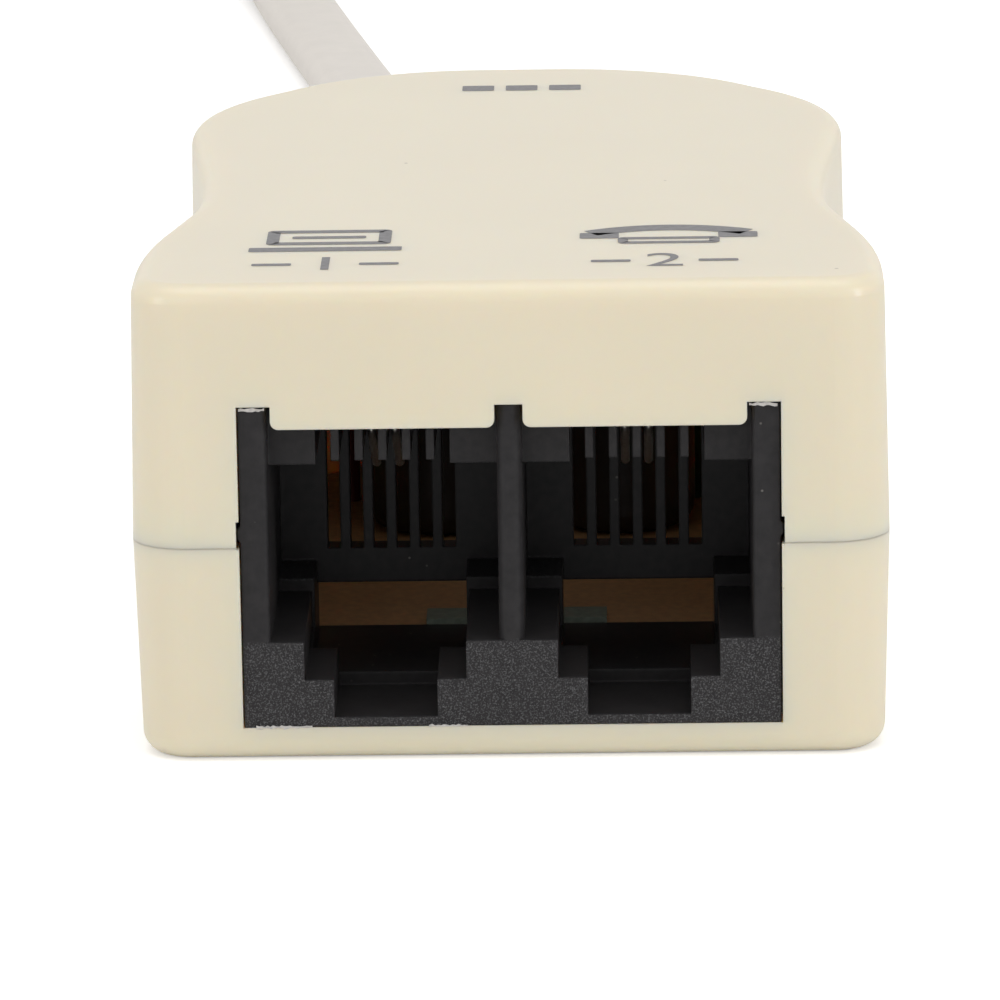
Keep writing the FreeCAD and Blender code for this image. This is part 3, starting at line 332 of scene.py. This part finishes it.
# Painted glints: light grey dots mixed into the black where the eroded grain would catch the light.
painted_glint_mix = jack_tree.nodes.new("ShaderNodeMix")
painted_glint_mix.data_type = "RGBA"
painted_glint_mix.inputs[7].default_value = (0.16, 0.16, 0.165, 1)
jack_tree.links.new(painted_glints, painted_glint_mix.inputs[0])
jack_tree.links.new(jack_tree.nodes["tone"].outputs["Color"], painted_glint_mix.inputs[6])
dust = jack_tree.nodes.new("ShaderNodeTexVoronoi")
dust.inputs["Scale"].default_value = 1300
jack_tree.links.new(jack_place.outputs["Object"], dust.inputs["Vector"])
dust_dot = step_mask(jack_tree, dust.outputs["Distance"], 0.1, 0.05)
dust_pick = jack_tree.nodes.new("ShaderNodeSeparateXYZ")
jack_tree.links.new(dust.outputs["Color"], dust_pick.inputs[0])
dust_some = combined(jack_tree, "MULTIPLY", dust_dot, step_mask(jack_tree, dust_pick.outputs["X"], 0.75, 0.95))
dust_mix = jack_tree.nodes.new("ShaderNodeMix")
dust_mix.data_type = "RGBA"
dust_mix.inputs[7].default_value = (0.16, 0.15, 0.14, 1)
jack_tree.links.new(dust_some, dust_mix.inputs[0])
jack_tree.links.new(painted_glint_mix.outputs[2], dust_mix.inputs[6])
jack_tree.links.new(dust_mix.outputs[2], jack_shader.inputs["Base Color"])
spark_height = combined(jack_tree, "MULTIPLY", grain_and_glint_area, spark.outputs["Fac"])
spark_relief = jack_tree.nodes.new("ShaderNodeBump")
spark_relief.inputs["Strength"].default_value = 0.8
spark_relief.inputs["Distance"].default_value = 0.00003
jack_edges = jack_tree.nodes.new("ShaderNodeBevel")
jack_edges.inputs["Radius"].default_value = 0.00014
jack_tree.links.new(jack_edges.outputs["Normal"], jack_tree.nodes["relief"].inputs["Normal"])
jack_tree.links.new(jack_tree.nodes["relief"].outputs["Normal"], spark_relief.inputs["Normal"])
jack_tree.links.new(spark_height, spark_relief.inputs["Height"])
jack_tree.links.new(spark_relief.outputs["Normal"], jack_shader.inputs["Normal"])
dress("jack_housing", jack_black)

# The contact wires: spring bronze with a thin bright plating, bent forward over
# the jack and back down between the teeth of its comb.
contact_plate = grained("contact_plate", (0.88, 0.86, 0.80), 0.28, 3500, 0.000005, 0.08)
contact_plate.node_tree.nodes["shader"].inputs["Metallic"].default_value = 1.0
for port in (1, 2):
    for position in (3, 4):
        dress("port_%d_contact_%d" % (port, position), contact_plate)

# The port leads: PVC insulated wires, red and green, crimped to the contact wires behind the jack and soldered to the
# board behind the chokes. They get darker copies of the red and green PVC, as painted shade.
red_pvc = grained("red_pvc", (0.50, 0.03, 0.022), 0.4, 1800, 0.00001, 0.08)
green_pvc = grained("green_pvc", (0.02, 0.24, 0.07), 0.4, 1800, 0.00001, 0.08)
# Darker copies of the red and green PVC: painted shade for the leads deep in the case.
red_pvc_painted_shade = grained("red_pvc_painted_shade", (0.16, 0.014, 0.012), 0.5, 1800, 0.00001, 0.08)
green_pvc_painted_shade = grained("green_pvc_painted_shade", (0.02, 0.07, 0.03), 0.5, 1800, 0.00001, 0.08)
for port in (1, 2):
    dress("port_%d_lead_3" % port, red_pvc_painted_shade)
    dress("port_%d_lead_4" % port, green_pvc_painted_shade)

# The line cord: a flat soft PVC jacket over two stranded wires, extruded in one
# piece. It drops from the rear wall to the table and runs back to its plug.
cord_width = 0.0048
cord_thickness = 0.0024
cord_exit = (0.0, 0.0250, 0.0095)
cord_route = [
    cord_exit,
    (0.0, 0.0357, 0.0095),
    (-0.00144, 0.0477, 0.0095),
    (-0.00372, 0.0667, 0.0012),
    (-0.0060, 0.0857, 0.0012),
    (-0.0096, 0.1077, 0.0012),
    (-0.0132, 0.1277, 0.0012),
    (-0.01694, 0.1497, 0.0012),
    (-0.019621, 0.165474, 0.0031),
    (-0.021968, 0.179276, 0.0031),
]
cord_line = bpy.data.curves.new("cord_line", "CURVE")
cord_line.dimensions = "3D"
cord_line.resolution_u = 16
cord_line.twist_mode = "Z_UP"
cord_spline = cord_line.splines.new("NURBS")
cord_spline.points.add(len(cord_route) - 1)
for point, place in zip(cord_spline.points, cord_route):
    point.co = (*place, 1)
cord_spline.order_u = 3
cord_spline.use_endpoint_u = True
cord_guide = bpy.data.objects.new("cord_guide", cord_line)
bpy.context.scene.collection.objects.link(cord_guide)
bpy.context.view_layer.update()
cord_centre = bpy.data.meshes.new_from_object(cord_guide)

cord_section = bpy.data.curves.new("cord_section", "CURVE")
cord_section.dimensions = "2D"
cord_section.resolution_u = 8
side = cord_section.splines.new("BEZIER")
side.bezier_points.add(3)
side.use_cyclic_u = True
end_radius = cord_thickness / 2
flat_half = cord_width / 2 - end_radius
round_reach = end_radius * 4 / 3
for point, (x, y, before, after) in zip(side.bezier_points, (
        (-flat_half, -end_radius, -round_reach, flat_half / 2),
        (flat_half, -end_radius, -flat_half / 2, round_reach),
        (flat_half, end_radius, round_reach, -flat_half / 2),
        (-flat_half, end_radius, flat_half / 2, -round_reach))):
    point.handle_left_type = "FREE"
    point.handle_right_type = "FREE"
    point.co = (x, y, 0)
    point.handle_left = (x + before, y, 0)
    point.handle_right = (x + after, y, 0)
cord_stamp = bpy.data.objects.new("cord_stamp", cord_section)
bpy.context.scene.collection.objects.link(cord_stamp)
cord_line.bevel_mode = "OBJECT"
cord_line.bevel_object = cord_stamp
cord_line.use_fill_caps = True
bpy.context.view_layer.update()
cord_mesh = bpy.data.meshes.new_from_object(
    cord_guide.evaluated_get(bpy.context.evaluated_depsgraph_get()))
bpy.data.objects.remove(cord_guide)
bpy.data.objects.remove(cord_stamp)
bpy.data.meshes.remove(cord_centre)
cord_form = bmesh.new()
cord_form.from_mesh(cord_mesh)
bmesh.ops.remove_doubles(cord_form, verts=cord_form.verts, dist=0.000002)
bmesh.ops.recalc_face_normals(cord_form, faces=cord_form.faces)
cord_form.to_mesh(cord_mesh)
cord_form.free()
for face in cord_mesh.polygons:
    face.use_smooth = len(face.vertices) < 5
cord_jacket = bpy.data.objects.new("cord_jacket", cord_mesh)
bpy.context.scene.collection.objects.link(cord_jacket)
cord_ivory = grained("cord_ivory", (0.75, 0.70, 0.64), 0.42, 700, 0.00003, 0.02)
cord_mesh.materials.clear()
cord_mesh.materials.append(cord_ivory)
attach(cord_jacket, "root")
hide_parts("line_cord")

# The strain relief and the cord's two inner wires: the relief is moulded on the
# jacket and clamped in the rear wall, and the wires drop to the board inside.
dress("cord_grommet", cord_ivory)
dress("line_wire_red", red_pvc)
dress("line_wire_green", green_pvc)

# The plug: clear polycarbonate with its latch in one piece, crimped on the
# cord's end, over two conductors that its gold plated blades bite into.
plug_clear = grained("plug_clear", (0.93, 0.95, 0.95), 0.06, 900, 0.00001, 0.01)
plug_shader = plug_clear.node_tree.nodes["shader"]
plug_shader.inputs["Transmission Weight"].default_value = 0.92
plug_shader.inputs["IOR"].default_value = 1.5
dress("plug_body", plug_clear)
blade_gold = grained("blade_gold", (0.86, 0.62, 0.26), 0.22, 4000, 0.000005, 0.06)
blade_gold.node_tree.nodes["shader"].inputs["Metallic"].default_value = 1.0
for position in (3, 4):
    dress("plug_blade_%d" % position, blade_gold)

plug_along = (Vector(cord_route[-1]) - Vector(cord_route[-2])).normalized()
plug_across = Vector((plug_along.y, -plug_along.x, 0))
conductor_radius = 0.0004
conductor_pitch = 0.002
blade_pitch = 0.001016


def run_on(form, face, step):
    """Draws the end face of a rod out by a step and returns the new end face."""
    made = bmesh.ops.extrude_face_region(form, geom=[face])["geom"]
    bmesh.ops.translate(form, vec=step, verts=[v for v in made if isinstance(v, bmesh.types.BMVert)])
    return next(f for f in made if isinstance(f, bmesh.types.BMFace))


for side_name, sign, finish, slot in (("red", -1, red_pvc, "wire_red"), ("green", 1, green_pvc, "wire_green")):
    start = Vector(cord_route[-1]) + plug_across * sign * conductor_pitch / 2
    step_in = plug_along * 0.0032 - plug_across * sign * (conductor_pitch - blade_pitch) / 2
    step_in = step_in - Vector((0, 0, 0.0004))
    core = bmesh.new()
    bmesh.ops.create_circle(core, cap_ends=True, segments=16, radius=conductor_radius)
    facing = plug_along.to_track_quat("Z", "Y").to_matrix().to_4x4()
    bmesh.ops.transform(core, matrix=Matrix.Translation(start) @ facing, verts=core.verts[:])
    core.faces.ensure_lookup_table()
    end_face = run_on(core, core.faces[0], step_in)
    run_on(core, end_face, plug_along * 0.0024)
    bmesh.ops.recalc_face_normals(core, faces=core.faces[:])
    core_mesh = bpy.data.meshes.new("plug_conductor_%s" % side_name)
    core.to_mesh(core_mesh)
    core.free()
    core_mesh.materials.append(finish)
    conductor = bpy.data.objects.new("plug_conductor_%s" % side_name, core_mesh)
    bpy.context.scene.collection.objects.link(conductor)
    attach(conductor, "root")

# The two halves of the case: ivory ABS, injection moulded and polished, with a few dark specks in the plastic, and a
# fine darker line where the halves meet that is painted shade of the gap between them.
case_ivory = grained("case_ivory", (0.765, 0.69, 0.53), 0.3, 90, 0.00002, 0.012)
case_tree = case_ivory.node_tree
case_shader = case_tree.nodes["shader"]
case_place = case_tree.nodes["place"]
case_shader.inputs["Subsurface Weight"].default_value = 0.5
case_shader.inputs["Subsurface Radius"].default_value = (1.0, 0.7, 0.4)
case_shader.inputs["Subsurface Scale"].default_value = 0.002
seam_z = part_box("bottom_shell")[1][2] - 0.001
case_axes = case_tree.nodes.new("ShaderNodeSeparateXYZ")
case_tree.links.new(case_place.outputs["Object"], case_axes.inputs[0])
seam_away = combined(case_tree, "ABSOLUTE", combined(case_tree, "SUBTRACT", case_axes.outputs["Z"], seam_z), 0)
seam_shade_line = step_mask(case_tree, seam_away, 0.00006, 0.00002)
speck = case_tree.nodes.new("ShaderNodeTexVoronoi")
speck.inputs["Scale"].default_value = 420
case_tree.links.new(case_place.outputs["Object"], speck.inputs["Vector"])
speck_dot = step_mask(case_tree, speck.outputs["Distance"], 0.045, 0.025)
speck_pick = case_tree.nodes.new("ShaderNodeSeparateXYZ")
case_tree.links.new(speck.outputs["Color"], speck_pick.inputs[0])
speck_some = combined(case_tree, "MULTIPLY", speck_dot, step_mask(case_tree, speck_pick.outputs["X"], 0.72, 0.9))
speck_mix = case_tree.nodes.new("ShaderNodeMix")
speck_mix.data_type = "RGBA"
speck_mix.inputs[7].default_value = (0.30, 0.24, 0.17, 1)
case_tree.links.new(combined(case_tree, "MULTIPLY", speck_some, 0.75), speck_mix.inputs[0])
case_tree.links.new(case_tree.nodes["tone"].outputs["Color"], speck_mix.inputs[6])
# Painted shade: a fine darker line along the seam of the two flush halves.
seam_shade_mix = case_tree.nodes.new("ShaderNodeMix")
seam_shade_mix.data_type = "RGBA"
seam_shade_mix.inputs[7].default_value = (0.50, 0.43, 0.32, 1)
case_tree.links.new(combined(case_tree, "MULTIPLY", seam_shade_line, 0.3), seam_shade_mix.inputs[0])
case_tree.links.new(speck_mix.outputs[2], seam_shade_mix.inputs[6])
case_tree.links.new(seam_shade_mix.outputs[2], case_shader.inputs["Base Color"])
case_skin = case_tree.nodes.new("ShaderNodeTexNoise")
case_skin.inputs["Scale"].default_value = 1800
case_skin.inputs["Detail"].default_value = 2
case_tree.links.new(case_place.outputs["Object"], case_skin.inputs["Vector"])
skin_relief = case_tree.nodes.new("ShaderNodeBump")
skin_relief.inputs["Strength"].default_value = 0.25
skin_relief.inputs["Distance"].default_value = 0.000006
case_edges = case_tree.nodes.new("ShaderNodeBevel")
case_edges.inputs["Radius"].default_value = 0.0001
case_tree.links.new(case_edges.outputs["Normal"], skin_relief.inputs["Normal"])
case_tree.links.new(case_skin.outputs["Fac"], skin_relief.inputs["Height"])
case_tree.links.new(skin_relief.outputs["Normal"], case_shader.inputs["Normal"])
dress("bottom_shell", case_ivory)
dress("top_shell", case_ivory)

# The flash: thin ragged films of ivory plastic that the mould left on the edges
# of the window, over the two outer columns and along the sill.
random.seed(7)
flash_form = bmesh.new()
for x_from, x_to, z_low, z_high in ((-11.45, -10.35, 15.47, 15.58), (10.2, 11.4, 15.46, 15.59),
                                    (-11.0, -8.6, 1.47, 1.58), (-3.6, -1.95, 1.47, 1.57)):
    count = int((x_to - x_from) / 0.12)
    strip = bmesh.ops.create_grid(flash_form, x_segments=count, y_segments=2, size=0.5)
    place = Matrix.Translation(((x_from + x_to) / 2000, front_y + 0.00022, (z_low + z_high) / 2000))
    sized = Matrix.Diagonal(((x_to - x_from) / 1000, (z_high - z_low) / 1000, 1, 1))
    upright = Matrix.Rotation(math.radians(90), 4, "X")
    bmesh.ops.transform(flash_form, matrix=place @ upright @ sized, verts=strip["verts"])
    middle = (z_low + z_high) / 2000
    for v in strip["verts"]:
        v.co.z += random.uniform(-0.00004, 0.00004)
        v.co.y += random.uniform(-0.00002, 0.00002)
thickness = bmesh.ops.extrude_face_region(flash_form, geom=list(flash_form.faces))
bmesh.ops.translate(flash_form, vec=(0, 0.00003, 0),
                    verts=[item for item in thickness["geom"] if isinstance(item, bmesh.types.BMVert)])
bmesh.ops.recalc_face_normals(flash_form, faces=flash_form.faces)
flash_mesh = bpy.data.meshes.new("window_flash")
flash_form.to_mesh(flash_mesh)
flash_form.free()
flash_white = grained("flash_white", (0.5, 0.48, 0.46), 0.45, 5000, 0.00001, 0.2)
flash_mesh.materials.append(flash_white)
window_flash = bpy.data.objects.new("window_flash", flash_mesh)
bpy.context.scene.collection.objects.link(window_flash)
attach(window_flash, "root")

# The print: dark grey pad print on the flat top, with a plain screen and a plain
# handset over port numbers at the front, and three short dashes at the rear.
print_form = bmesh.new()
ink_height = 0.00001


def ink_block(x, depth, width, length, corner=0.0001):
    """Flat rectangle of ink on the top, placed by its middle, with soft corners."""
    made = bmesh.ops.create_grid(print_form, x_segments=1, y_segments=1, size=0.5)
    place = Matrix.Translation((x / 1000, front_y + depth / 1000, top_z + ink_height))
    sized = Matrix.Diagonal((width / 1000, length / 1000, 1, 1))
    bmesh.ops.transform(print_form, matrix=place @ sized, verts=made["verts"])
    rounded = bmesh.ops.bevel(print_form, geom=made["verts"], offset=corner, segments=3, profile=0.5,
                              affect="VERTICES", material=-1)
    return [face for face in rounded["faces"]] or list({f for v in made["verts"] if v.is_valid for f in v.link_faces})


def ink_frame(x, depth, width, length, line):
    """Rectangular ring of ink."""
    before = set(print_form.faces)
    ink_block(x, depth, width, length, 0.0003)
    face = max((f for f in print_form.faces if f not in before), key=lambda f: f.calc_area())
    bmesh.ops.inset_region(print_form, faces=[face], thickness=line / 1000, use_boundary=True,
                           use_even_offset=True)
    bmesh.ops.delete(print_form, geom=[face], context="FACES_ONLY")


def ink_arch(x, depth, radius, line, half_angle):
    """Arc of ink, its middle furthest to the rear."""
    end = math.radians(half_angle)
    start = Vector((x / 1000, front_y + depth / 1000, top_z + ink_height))
    arm = Matrix.Rotation(-end, 4, "Z") @ Vector((0, 1, 0))
    inner = print_form.verts.new(start + arm * (radius - line / 2) / 1000)
    outer = print_form.verts.new(start + arm * (radius + line / 2) / 1000)
    edge = print_form.edges.new((inner, outer))
    bmesh.ops.spin(print_form, geom=[inner, outer, edge], cent=start, axis=(0, 0, 1), angle=2 * end,
                   steps=24, use_duplicate=False)


ink_frame(-7.8, 9.6, 5.4, 2.9, 0.55)
ink_block(-7.8, 9.6, 3.2, 0.5)
ink_block(-7.9, 7.25, 6.6, 0.8)
ink_arch(6.9, 4.6, 6.2, 1.1, 33)
ink_block(3.9, 9.3, 1.7, 1.1)
ink_block(9.9, 9.3, 1.7, 1.1)
ink_frame(6.9, 8.3, 4.4, 1.3, 0.45)
for middle in (-7.8, 6.7):
    for sign in (-1, 1):
        ink_block(middle + sign * 2.3, 4.3, 1.7, 0.45)
for middle in (-1.9, 0.15, 2.2):
    ink_block(middle, 42.0, 1.5, 1.2)
print_mesh = bpy.data.meshes.new("top_print")
bmesh.ops.recalc_face_normals(print_form, faces=print_form.faces)
for face in print_form.faces:
    if face.normal.z < 0:
        face.normal_flip()
print_form.to_mesh(print_mesh)
print_form.free()
ink_grey = grained("ink_grey", (0.165, 0.16, 0.165), 0.5, 3500, 0.000004, 0.18)
print_mesh.materials.append(ink_grey)
top_print = bpy.data.objects.new("top_print", print_mesh)
bpy.context.scene.collection.objects.link(top_print)
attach(top_print, "root")
for number, x in (("1", -7.8), ("2", 6.7)):
    figure = bpy.data.curves.new("port_number_%s" % number, "FONT")
    figure.body = number
    figure.size = 0.0036
    figure.align_x = "CENTER"
    figure.align_y = "CENTER"
    figure_guide = bpy.data.objects.new("port_guide_%s" % number, figure)
    bpy.context.scene.collection.objects.link(figure_guide)
    bpy.context.view_layer.update()
    figure_mesh = bpy.data.meshes.new_from_object(
        figure_guide.evaluated_get(bpy.context.evaluated_depsgraph_get()))
    bpy.data.objects.remove(figure_guide)
    figure_mesh.transform(Matrix.Translation((x / 1000, front_y + 0.0043, top_z + ink_height)))
    figure_mesh.materials.clear()
    figure_mesh.materials.append(ink_grey)
    port_number = bpy.data.objects.new("port_number_%s" % number, figure_mesh)
    bpy.context.scene.collection.objects.link(port_number)
    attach(port_number, "root")
